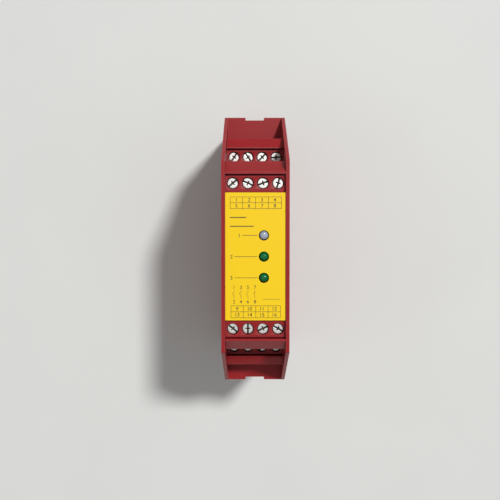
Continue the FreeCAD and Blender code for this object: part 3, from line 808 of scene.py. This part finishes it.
# ---- clamp screws ----
@dataclass
class ClampScrews:
    """Sixteen M3 clamp screws with slot and cross recess, turned as they were left."""

    finishes: Finishes
    head_r: float = 1.75
    head_h: float = 1.7
    # Rounding of the head's top edge with its angles, and the small bevel under the head
    head_edge: float = 0.14
    edge_deg: range = range(0, 91, 15)
    under_edge: float = 0.08
    # A ring at this share of the radius parts the flat top
    flat_share: float = 0.55
    slot_w: float = 0.6
    slot_deep: float = 0.8
    cross_reach: float = 1.0
    cross_w: float = 0.5
    cross_deep: float = 1.1
    # Shares of its length and width that the cross has at its foot
    cross_foot: tuple[float, float] = (0.30, 0.55)
    # How far the slot's and the cross's cutter stand past the head
    slot_over: float = 1.0
    cross_over: float = 0.3
    # Softened burr along every cut
    burr: float = 0.05
    burr_deg: float = 50.0
    burr_steps: int = 2
    neck_r: float = 1.25
    neck_len: float = 0.9
    thread_r: float = 1.5
    thread_depth: float = 0.28
    thread_pitch: float = 0.5
    # Where one turn's root ends and where its crest starts and ends, as shares of the pitch
    thread_root: float = 0.18
    thread_crest: tuple[float, float] = (0.42, 0.58)
    # Turns over which the thread runs in and out
    thread_fade: float = 0.6
    # The core is this much thicker than the thread's root, and its point is bevelled
    core_share: float = 1.02
    core_lap: float = 0.02
    core_point: float = 0.3
    # Length of neck and thread
    shank_len: float = 5.4
    # Segments round the axis
    head_steps: int = 56
    thread_steps: int = 24
    # Edges sharper than this stay sharp: on the bare head, and on the whole screw
    head_sharp_deg: float = 30.0
    screw_sharp_deg: float = 32.0
    # Turn of each screw's slot in degrees, by row and pole
    angles: dict[int, tuple[float, ...]] = field(default_factory=lambda: {
        1: (55, -55, 45, 4), 2: (40, -25, 20, 75), 3: (-40, 90, 25, -30), 4: (12, -35, 60, -8),
    })

    def head_mesh(self) -> bpy.types.Mesh:
        """Makes the slotted and recessed head with its neck, its top at z = 0.

        Returns:
            The mesh.
        """
        form = bmesh.new()
        r, e, under = self.head_r, self.head_edge, self.under_edge
        arc = [(r - e + e * math.sin(a), -e + e * math.cos(a))
               for a in map(math.radians, self.edge_deg)]
        neck_end = -self.head_h - self.neck_len
        turned(form, [(0, 0), (r * self.flat_share, 0)] + arc + [
            (r, -self.head_h + under), (r - under, -self.head_h),
            (self.neck_r, -self.head_h), (self.neck_r, neck_end), (0, neck_end)],
            self.head_steps)
        steel = self.finishes.screw_steel
        head = mesh_object("screw_head_form", form, steel, self.head_sharp_deg)
        cutter = bmesh.new()
        reach = r + self.slot_over
        block(cutter, (-reach, -self.slot_w / 2, -self.slot_deep),
              (reach, self.slot_w / 2, self.slot_over))
        slot = mesh_object("slot_form", cutter, steel)
        cross = self.cross_form()
        for tool in (slot, cross):
            cut = head.modifiers.new("cut", "BOOLEAN")
            cut.operation = "DIFFERENCE"
            cut.solver = "EXACT"
            cut.object = tool
            # The cross is two blocks through each other
            cut.use_self = tool is cross
        soften = head.modifiers.new("burr", "BEVEL")
        soften.limit_method = "ANGLE"
        soften.angle_limit = math.radians(self.burr_deg)
        soften.width = self.burr * MM
        soften.segments = self.burr_steps
        apply_modifiers(head)
        data = head.data
        for spent in (head, slot, cross):
            bpy.data.objects.remove(spent)
        return data

    def cross_form(self) -> bpy.types.Object:
        """Makes the tapered cross that cuts the recess.

        Returns:
            The cutter.
        """
        form = bmesh.new()
        half = self.cross_w / 2
        for turn in (0.0, math.pi / 2):
            corners = block(form, (-self.cross_reach, -half, -self.cross_deep),
                            (self.cross_reach, half, self.cross_over))
            for vert in corners:
                if vert.co.z < 0:
                    vert.co.x *= self.cross_foot[0]
                    vert.co.y *= self.cross_foot[1]
                vert.co = Matrix.Rotation(turn, 3, "Z") @ vert.co
        return mesh_object("cross_form", form, self.finishes.screw_steel)

    def add_thread(self, form: bmesh.types.BMesh, top: float) -> None:
        """Adds the threaded shank below a height.

        Args:
            form: The bmesh to add to.
            top: Height of the thread's upper end in millimetres.
        """
        steps, root_r = self.thread_steps, self.thread_r - self.thread_depth
        turns = int((self.shank_len - self.neck_len) / self.thread_pitch)
        flank = ((0.0, root_r), (self.thread_root, root_r),
                 (self.thread_crest[0], self.thread_r), (self.thread_crest[1], self.thread_r))
        count = len(flank)
        line = []
        for k in range(turns * steps + 1):
            turn = k / steps
            angle = math.tau * turn
            fade = min(1.0, turn / self.thread_fade, (turns - turn) / self.thread_fade)
            for share, radius in flank:
                reach = root_r + (radius - root_r) * max(fade, 0.0)
                z = top - (turn + share) * self.thread_pitch
                line.append(form.verts.new((reach * MM * math.cos(angle),
                                            reach * MM * math.sin(angle), z * MM)))
        for k in range(turns * steps):
            for j in range(count):
                a, b = line[k * count + j], line[(k + 1) * count + j]
                if j + 1 < count:
                    c, d = line[(k + 1) * count + j + 1], line[k * count + j + 1]
                elif k + steps < turns * steps:
                    c, d = line[(k + 1 + steps) * count], line[(k + steps) * count]
                else:
                    continue
                form.faces.new((a, b, c, d))
        self.add_core(form, top, top - (turns + 1) * self.thread_pitch, root_r * self.core_share)

    def add_core(self, form: bmesh.types.BMesh, top: float, low: float, radius: float) -> None:
        """Adds the rod inside the thread, with a bevelled point.

        Args:
            form: The bmesh to add to.
            top: Height of its upper end in millimetres.
            low: Height of its point.
            radius: Its radius.
        """
        point, high = self.core_point, top + self.core_lap
        rod = bmesh.new()
        turned(rod, [(0, high), (radius, high), (radius, low + point),
                     (radius - point, low), (0, low)], self.thread_steps)
        data = bpy.data.meshes.new("core")
        rod.to_mesh(data)
        rod.free()
        form.from_mesh(data)
        bpy.data.meshes.remove(data)

    def build(self) -> None:
        """Places a screw at every pole, over the frame's own."""
        screw_form = bmesh.new()
        screw_form.from_mesh(self.head_mesh())
        self.add_thread(screw_form, -self.head_h - self.neck_len)
        data = bpy.data.meshes.new("clamp_screw_form")
        screw_form.to_mesh(data)
        screw_form.free()
        finish_mesh(data, self.finishes.screw_steel, self.screw_sharp_deg)
        for row, row_angles in self.angles.items():
            for pole, angle in enumerate(row_angles, 1):
                node = f"clamp_screw_{row}_{pole}"
                low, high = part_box(node)
                screw = new_object(f"screw_{row}_{pole}", data)
                screw.location = ((low.x + high.x) / 2, (low.y + high.y) / 2, high.z)
                screw.rotation_euler = (0, 0, math.radians(angle))
                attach(screw, node)
                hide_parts(node)
                LOG.info("clamp screw placed: %s", screw.name)


# ---- front label and its print ----
class Mark(Enum):
    """Generic signs of the contacts on the label."""

    CLOSING = "contact that closes"
    OPENING = "contact that opens"


@dataclass
class FrontPrint:
    """Dark print on the yellow label: number grids, contact signs and lamp pointers."""

    finishes: Finishes
    # Thickness of the ink, then the widths of the strokes
    ink: float = 0.02
    grid_line: float = 0.13
    sign_line: float = 0.1
    pointer_line: float = 0.16
    title_line: float = 0.3
    digit_h: float = 1.2
    small_digit_h: float = 1.12
    bold: float = 0.008
    # Height of a capital as a share of the letter size
    capital_share: float = 0.69
    top_grid_x: tuple[float, ...] = (-8.28, -4.2, 0.05, 4.3, 8.55)
    top_grid_y: tuple[float, ...] = (19.64, 17.74, 15.83)
    low_grid_x: tuple[float, ...] = (-8.04, -3.96, 0.12, 4.2, 8.27)
    low_grid_y: tuple[float, ...] = (-16.25, -18.24, -20.23)
    # Contacts from left to right, and the heights of upper number, sign and lower number
    contact_x: tuple[float, ...] = (-7.05, -4.75, -2.45, -0.15)
    contact_y: tuple[float, float, float] = (-10.1, -12.45, -14.9)
    contact_kinds: tuple[Mark, ...] = (Mark.CLOSING, Mark.CLOSING, Mark.CLOSING, Mark.OPENING)
    # Space between the middle of a number and its contact's sign
    contact_clear: float = 1.0
    # Ends of a contact's two wires, above and below its middle, and the tip of its blade
    contact_gap: tuple[float, float] = (0.45, -0.55)
    contact_tip: float = 0.5
    contact_tilt: dict[Mark, float] = field(default_factory=lambda: {
        Mark.CLOSING: 0.55, Mark.OPENING: 0.35,
    })
    # Height and right end of the rules under the upper grid
    title_rules: tuple[tuple[float, float], ...] = ((12.9, -3.2), (10.0, -0.7))
    # Left end, right end and height of the fine rule beside the contacts
    fine_rule: tuple[float, float, float] = (2.4, 8.3, -14.1)
    # Space from a lamp's number to its pointer, and from the pointer to the lamp
    pointer_space: tuple[float, float] = (1.1, 0.75)
    # X of each lamp's number
    lamp_numbers: dict[str, float] = field(default_factory=lambda: {
        "led_power": -5.3, "led_channel_2": -7.9, "led_channel_1": -7.9,
    })
    z: float = field(init=False)
    form: bmesh.types.BMesh = field(init=False)

    def __post_init__(self) -> None:
        """Reads the label's top and starts the print."""
        self.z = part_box("front_label")[1].z / MM
        self.form = bmesh.new()

    def bar(self, x0: float, y0: float, x1: float, y1: float, width: float) -> None:
        """Adds a straight stroke between two points.

        Args:
            x0: X of its start, in millimetres.
            y0: Y of its start.
            x1: X of its end.
            y1: Y of its end.
            width: Its width, by half of which it passes both ends.
        """
        start, end = Vector((x0, y0)), Vector((x1, y1))
        along = (end - start).normalized()
        half = width / 2
        across = Vector((-along.y, along.x)) * half
        start, end = start - along * half, end + along * half
        ring = [start - across, end - across, end + across, start + across]
        low, high = ([self.form.verts.new((p.x * MM, p.y * MM, z * MM)) for p in ring]
                     for z in (self.z, self.z + self.ink))
        self.form.faces.new(high)
        for i in range(4):
            j = (i + 1) % 4
            self.form.faces.new((low[i], low[j], high[j], high[i]))

    def grid(self, xs: tuple[float, ...], ys: tuple[float, ...]) -> None:
        """Adds the lines of a grid.

        Args:
            xs: X of its upright lines, from the left, in millimetres.
            ys: Y of its level lines, from the top.
        """
        for x in xs:
            self.bar(x, ys[-1], x, ys[0], self.grid_line)
        for y in ys:
            self.bar(xs[0], y, xs[-1], y, self.grid_line)

    def number(self, text: str, x: float, y: float, height: float) -> None:
        """Adds a plain number.

        Args:
            text: Its digits.
            x: Middle of the number, in millimetres.
            y: Middle of its height.
            height: Height of a digit.
        """
        curve = bpy.data.curves.new("digits", "FONT")
        curve.body = text
        curve.align_x = "CENTER"
        curve.size = height * MM / self.capital_share
        curve.extrude = self.ink * MM / 2
        curve.offset = self.bold * MM
        holder = new_object("digits", curve)
        bpy.context.view_layer.update()
        data = bpy.data.meshes.new_from_object(
            holder.evaluated_get(bpy.context.evaluated_depsgraph_get()))
        data.transform(Matrix.Translation(
            (x * MM, (y - height / 2) * MM, (self.z + self.ink / 2) * MM)))
        self.form.from_mesh(data)
        bpy.data.objects.remove(holder)
        bpy.data.curves.remove(curve)
        bpy.data.meshes.remove(data)

    def contact(self, kind: Mark, x: float) -> None:
        """Adds the sign of one contact between its two numbers.

        Args:
            kind: Which sign.
            x: Its place from left to right, in millimetres.
        """
        y_top, y_mid, y_low = self.contact_y
        upper, lower = (y_mid + gap for gap in self.contact_gap)
        self.bar(x, y_top - self.contact_clear, x, upper, self.sign_line)
        self.bar(x, y_low + self.contact_clear, x, lower, self.sign_line)
        self.bar(x, lower, x - self.contact_tilt[kind], y_mid + self.contact_tip, self.sign_line)
        if kind is Mark.OPENING:
            self.bar(x, upper, x - self.contact_tip, upper, self.sign_line)

    def build(self) -> None:
        """Prints the label."""
        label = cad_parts["front_label"]
        label.data.materials.clear()
        label.data.materials.append(self.finishes.label_yellow)
        grids = ((self.top_grid_x, self.top_grid_y), (self.low_grid_x, self.low_grid_y))
        for xs, ys in grids:
            self.grid(xs, ys)
        count = 1
        for xs, ys in grids:
            for top, low in zip(ys, ys[1:]):
                for left, right in zip(xs, xs[1:]):
                    self.number(str(count), (left + right) / 2, (top + low) / 2, self.digit_h)
                    count += 1
        for i, (kind, x) in enumerate(zip(self.contact_kinds, self.contact_x)):
            self.number(str(2 * i + 1), x, self.contact_y[0], self.small_digit_h)
            self.number(str(2 * i + 2), x, self.contact_y[2], self.small_digit_h)
            self.contact(kind, x)
        for n, (node, x) in enumerate(self.lamp_numbers.items(), 1):
            low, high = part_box(node)
            y = (low.y + high.y) / 2 / MM
            self.number(str(n), x, y, self.digit_h)
            self.bar(x + self.pointer_space[0], y, low.x / MM - self.pointer_space[1], y,
                     self.pointer_line)
        left, right, y = self.fine_rule
        self.bar(left, y, right, y, self.sign_line)
        for y, x_end in self.title_rules:
            self.bar(self.top_grid_x[0], y, x_end, y, self.title_line)
        ink = mesh_object("label_print", self.form, self.finishes.ink_black)
        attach(ink, HOUSING_BODY)
        LOG.info("label printed with %d faces", len(ink.data.polygons))


# ---- indicator lamps ----
class LampTint(Enum):
    """Resin of an indicator lamp, by the slot that it stands for."""

    CLEAR = "lamp_clear"
    GREEN = "lamp_green"


@dataclass
class IndicatorLamps:
    """Three 3 mm lamps: a domed lens over the cup, post and leads of its lead frame.

    Lengths are in millimetres, and heights are measured from the base of the lens.
    """

    finishes: Finishes
    # Base of the lens above its board
    standoff: float = 1.4
    lens_r: float = 1.5
    flange_h: float = 0.5
    flange_step: tuple[float, float] = (0.06, 0.05)
    # Angles of the dome's rings, below its nose
    dome_deg: range = range(0, 81, 9)
    # Reflector cup: outer radius, inner radius at its foot, thickness of wall and foot,
    # height of the cup and of its rim
    cup_r: float = 0.62
    cup_foot_r: float = 0.28
    cup_wall: float = 0.1
    cup_foot: float = 0.15
    cup_h: float = 0.55
    cup_rim: float = 2.1
    # Leads: width, distance from the axis, and where anvil and post grow out of them
    lead_w: float = 0.5
    lead_at: float = 1.0
    lead_top: float = 1.2
    # Half the thickness of anvil and post, how far they pass leads and rim, and the
    # anvil's inner end
    bar_half: float = 0.2
    bar_over: float = 0.1
    anvil_end: float = 0.15
    # Segments round the axis
    lens_steps: int = 48
    cup_steps: int = 24
    tints: dict[str, LampTint] = field(default_factory=lambda: {
        "led_power": LampTint.CLEAR, "led_channel_2": LampTint.GREEN,
        "led_channel_1": LampTint.GREEN,
    })

    def lens(self, name: str, base: float, nose: float) -> bpy.types.Object:
        """Makes the lens.

        Args:
            name: Node of the lamp.
            base: Height of its flat base.
            nose: Height of its domed nose.

        Returns:
            The lens, about the Z axis.
        """
        form = bmesh.new()
        shoulder = nose - self.lens_r
        dome = [(self.lens_r * math.cos(a), shoulder + self.lens_r * math.sin(a))
                for a in map(math.radians, self.dome_deg)]
        flange = base + self.flange_h
        turned(form, [(0, base), (self.lens_r, base), (self.lens_r, flange),
                      (self.lens_r - self.flange_step[0], flange + self.flange_step[1]),
                      *dome, (0, nose)], self.lens_steps)
        resin = getattr(self.finishes, self.tints[name].value)
        return mesh_object(name + "_lens", form, resin)

    def lead_frame(self, name: str, base: float, foot: float) -> bpy.types.Object:
        """Makes the reflector cup on its anvil, the post beside it and the two leads.

        Args:
            name: Node of the lamp.
            base: Height of the lens's base.
            foot: Height of the leads' lower ends.

        Returns:
            The lead frame, about the Z axis.
        """
        form = bmesh.new()
        half = self.lead_w / 2
        top, rim = base + self.lead_top, base + self.cup_rim
        cup_low = rim - self.cup_h
        for side in (-1, 1):
            x = side * self.lead_at
            block(form, (x - half, -half, foot), (x + half, half, top))
        ends = self.lead_at + self.bar_over
        for x0, x1, high in ((-ends, self.anvil_end, cup_low),
                             (self.cup_r, ends, rim + self.bar_over)):
            block(form, (x0, -self.bar_half, top), (x1, self.bar_half, high))
        foot_top = cup_low + self.cup_foot
        turned(form, [(0, cup_low), (self.cup_r, cup_low), (self.cup_r, rim),
                      (self.cup_r - self.cup_wall, rim), (self.cup_foot_r, foot_top),
                      (0, foot_top)], self.cup_steps)
        return mesh_object(name + "_lead_frame", form, self.finishes.lamp_metal)

    def build(self) -> None:
        """Puts a lamp over each of the frame's own."""
        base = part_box("display_board")[1].z / MM + self.standoff
        for name, tint in self.tints.items():
            low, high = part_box(name)
            lens = self.lens(name, base, high.z / MM)
            metal = self.lead_frame(name, base, low.z / MM)
            for piece in (lens, metal):
                piece.location = ((low.x + high.x) / 2, (low.y + high.y) / 2, 0)
                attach(piece, HOUSING_BODY)
            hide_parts(name)
            LOG.info("lamp made: %s", name)


# ---- latch spring ----
@dataclass
class LatchSpring:
    """Folded strip of spring steel that pushes the latch home; it shortens as the latch slides."""

    finishes: Finishes
    folds: int = 8
    strip: float = 0.3
    # Ends of the spring along Y, in millimetres: at the housing's peg and at the latch
    fixed_y: float = -40.0
    moving_y: float = -28.0
    travel: float = 3.0
    steps_per_fold: int = 10
    # Below 1 the folds are fuller than a sine
    fold_power: float = 0.8
    sharp_deg: float = 50.0

    def line(self, reach: float) -> list[Vector]:
        """Works out the middle line of the strip.

        Args:
            reach: How far a fold reaches to each side, in millimetres.

        Returns:
            Its points in X and Y, in millimetres.
        """
        count = self.folds * self.steps_per_fold
        points = []
        for i in range(count + 1):
            share = i / count
            swing = math.sin(math.pi * self.folds * share)
            shaped = math.copysign(abs(swing) ** self.fold_power, swing)
            points.append(Vector((reach * shaped,
                                  self.fixed_y + (self.moving_y - self.fixed_y) * share)))
        return points

    def build(self) -> None:
        """Makes the strip."""
        low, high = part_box("latch_spring")
        z0, z1 = low.z / MM, high.z / MM
        line = self.line((high.x - low.x) / 2 / MM - self.strip)
        form = bmesh.new()
        rings = []
        for i, point in enumerate(line):
            ahead = line[min(i + 1, len(line) - 1)] - line[max(i - 1, 0)]
            side = Vector((-ahead.y, ahead.x)).normalized() * self.strip / 2
            rings.append([
                form.verts.new(((point.x + s * side.x) * MM,
                                min(max(point.y + s * side.y, self.fixed_y), self.moving_y) * MM,
                                z * MM))
                for s, z in ((-1, z0), (1, z0), (1, z1), (-1, z1))
            ])
        for a, b in zip(rings, rings[1:]):
            for i in range(4):
                j = (i + 1) % 4
                form.faces.new((a[i], a[j], b[j], b[i]))
        form.faces.new(rings[0])
        form.faces.new(rings[-1])
        spring = mesh_object("latch_spring_strip", form, self.finishes.spring_steel,
                             self.sharp_deg)
        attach(spring, HOUSING_BODY)
        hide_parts("latch_spring")
        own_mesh(spring)
        LOG.info("latch spring made")


# ---- studio ----
@dataclass
class Studio:
    """Plain pale floor, one large soft light from the upper right, a weak fill and the camera."""

    floor_half: float = 8.0
    floor_colours: tuple[str, str] = ("#DCDDDA", "#D6D7D4")
    floor_cloud_mm: float = 60.0
    # Camera's place in millimetres, its lean about X in radians and its lens
    camera_at: tuple[float, float, float] = (-1.68, 18.72, 274.3)
    tilt: float = 0.0261
    lens_mm: float = 42.26
    sensor_mm: float = 36.0
    shift: tuple[float, float] = (-0.0006, -0.0699)
    clip_start: float = 0.005
    # Lamps: place and width in metres, power in watts, both aimed at one point on the relay
    key_at: tuple[float, float, float] = (1.86, 2.07, 4.18)
    key_size: float = 0.66
    key_power: float = 202.5
    fill_at: tuple[float, float, float] = (-0.7, -0.2, 0.8)
    fill_size: float = 0.8
    fill_power: float = 0.4
    aim: tuple[float, float, float] = (0.0, 0.0, 0.04)
    horizon_level: float = 0.12
    zenith_level: float = 0.42

    def floor(self) -> None:
        """Lays the floor that the relay's back rests on."""
        form = bmesh.new()
        bmesh.ops.create_grid(form, x_segments=1, y_segments=1, size=self.floor_half)
        # Matt pale paint with clouds too faint to read as a pattern
        made = new_material("painted_board_pale", {"Roughness": 0.7, "IOR": 1.45})
        cloud = add_node(made.tree, "ShaderNodeTexNoise",
                         {"Scale": per_metre(self.floor_cloud_mm), "Detail": 2.0},
                         {"Vector": made.place})
        first, second = (linear(colour) for colour in self.floor_colours)
        paint = add_node(made.tree, "ShaderNodeMixRGB", {"Color1": first, "Color2": second},
                         {"Fac": cloud.outputs["Fac"]})
        made.feed("Base Color", paint.outputs["Color"])
        mesh_object("floor", form, made.material)

    def lamp(self, name: str, at: tuple[float, float, float], size: float, power: float) -> None:
        """Hangs an area lamp that points at the relay.

        Args:
            name: Name of the lamp.
            at: Its place in metres.
            size: Its width in metres.
            power: Its power in watts.
        """
        data = bpy.data.lights.new(name, "AREA")
        data.shape = "DISK"
        data.size = size
        data.energy = power
        lamp = new_object(name, data)
        lamp.location = at
        towards = Vector(self.aim) - Vector(at)
        lamp.rotation_euler = towards.to_track_quat("-Z", "Y").to_euler()

    def sky(self) -> None:
        """Makes the light of the room, brighter overhead than at the horizon."""
        world = bpy.data.worlds.new("room")
        world.use_nodes = True
        bpy.context.scene.world = world
        tree = world.node_tree
        shader = tree.nodes["Background"]
        shader.inputs["Color"].default_value = (1.0, 1.0, 1.0, 1.0)
        path = add_node(tree, "ShaderNodeLightPath")
        ray = add_node(tree, "ShaderNodeTexCoord").outputs["Generated"]
        height = add_node(tree, "ShaderNodeSeparateXYZ", links={0: ray}).outputs["Z"]
        level = add_node(tree, "ShaderNodeMapRange",
                         {"To Min": self.horizon_level, "To Max": self.zenith_level},
                         {"Value": height})
        # White where the camera sees it, the level of the room for everything else
        shown = add_node(tree, "ShaderNodeMapRange", {"To Max": 1.0},
                         {"Value": path.outputs["Is Camera Ray"],
                          "To Min": level.outputs["Result"]})
        tree.links.new(shown.outputs["Result"], shader.inputs["Strength"])

    def camera(self) -> None:
        """Sets the camera above the relay, looking almost straight down."""
        data = bpy.data.cameras.new("camera")
        data.lens = self.lens_mm
        data.sensor_width = self.sensor_mm
        data.shift_x, data.shift_y = self.shift
        data.clip_start = self.clip_start
        camera = new_object("camera", data)
        camera.location = Vector(self.camera_at) * MM
        camera.rotation_euler = (-self.tilt, 0, 0)
        bpy.context.scene.camera = camera

    def build(self) -> None:
        """Builds the floor, lamps, room light and camera."""
        self.floor()
        self.lamp("key", self.key_at, self.key_size, self.key_power)
        self.lamp("fill", self.fill_at, self.fill_size, self.fill_power)
        self.sky()
        self.camera()
        bpy.context.scene.view_settings.view_transform = "Standard"
        LOG.info("studio ready")


def main() -> None:
    """Builds the looks of the relay and its studio in order."""
    finishes = Finishes()
    MouldedCase(finishes).build()
    Inside(finishes).build()
    ClampScrews(finishes).build()
    FrontPrint(finishes).build()
    IndicatorLamps(finishes).build()
    LatchSpring(finishes).build()
    Studio().build()


if __name__ == "__main__":
    main()
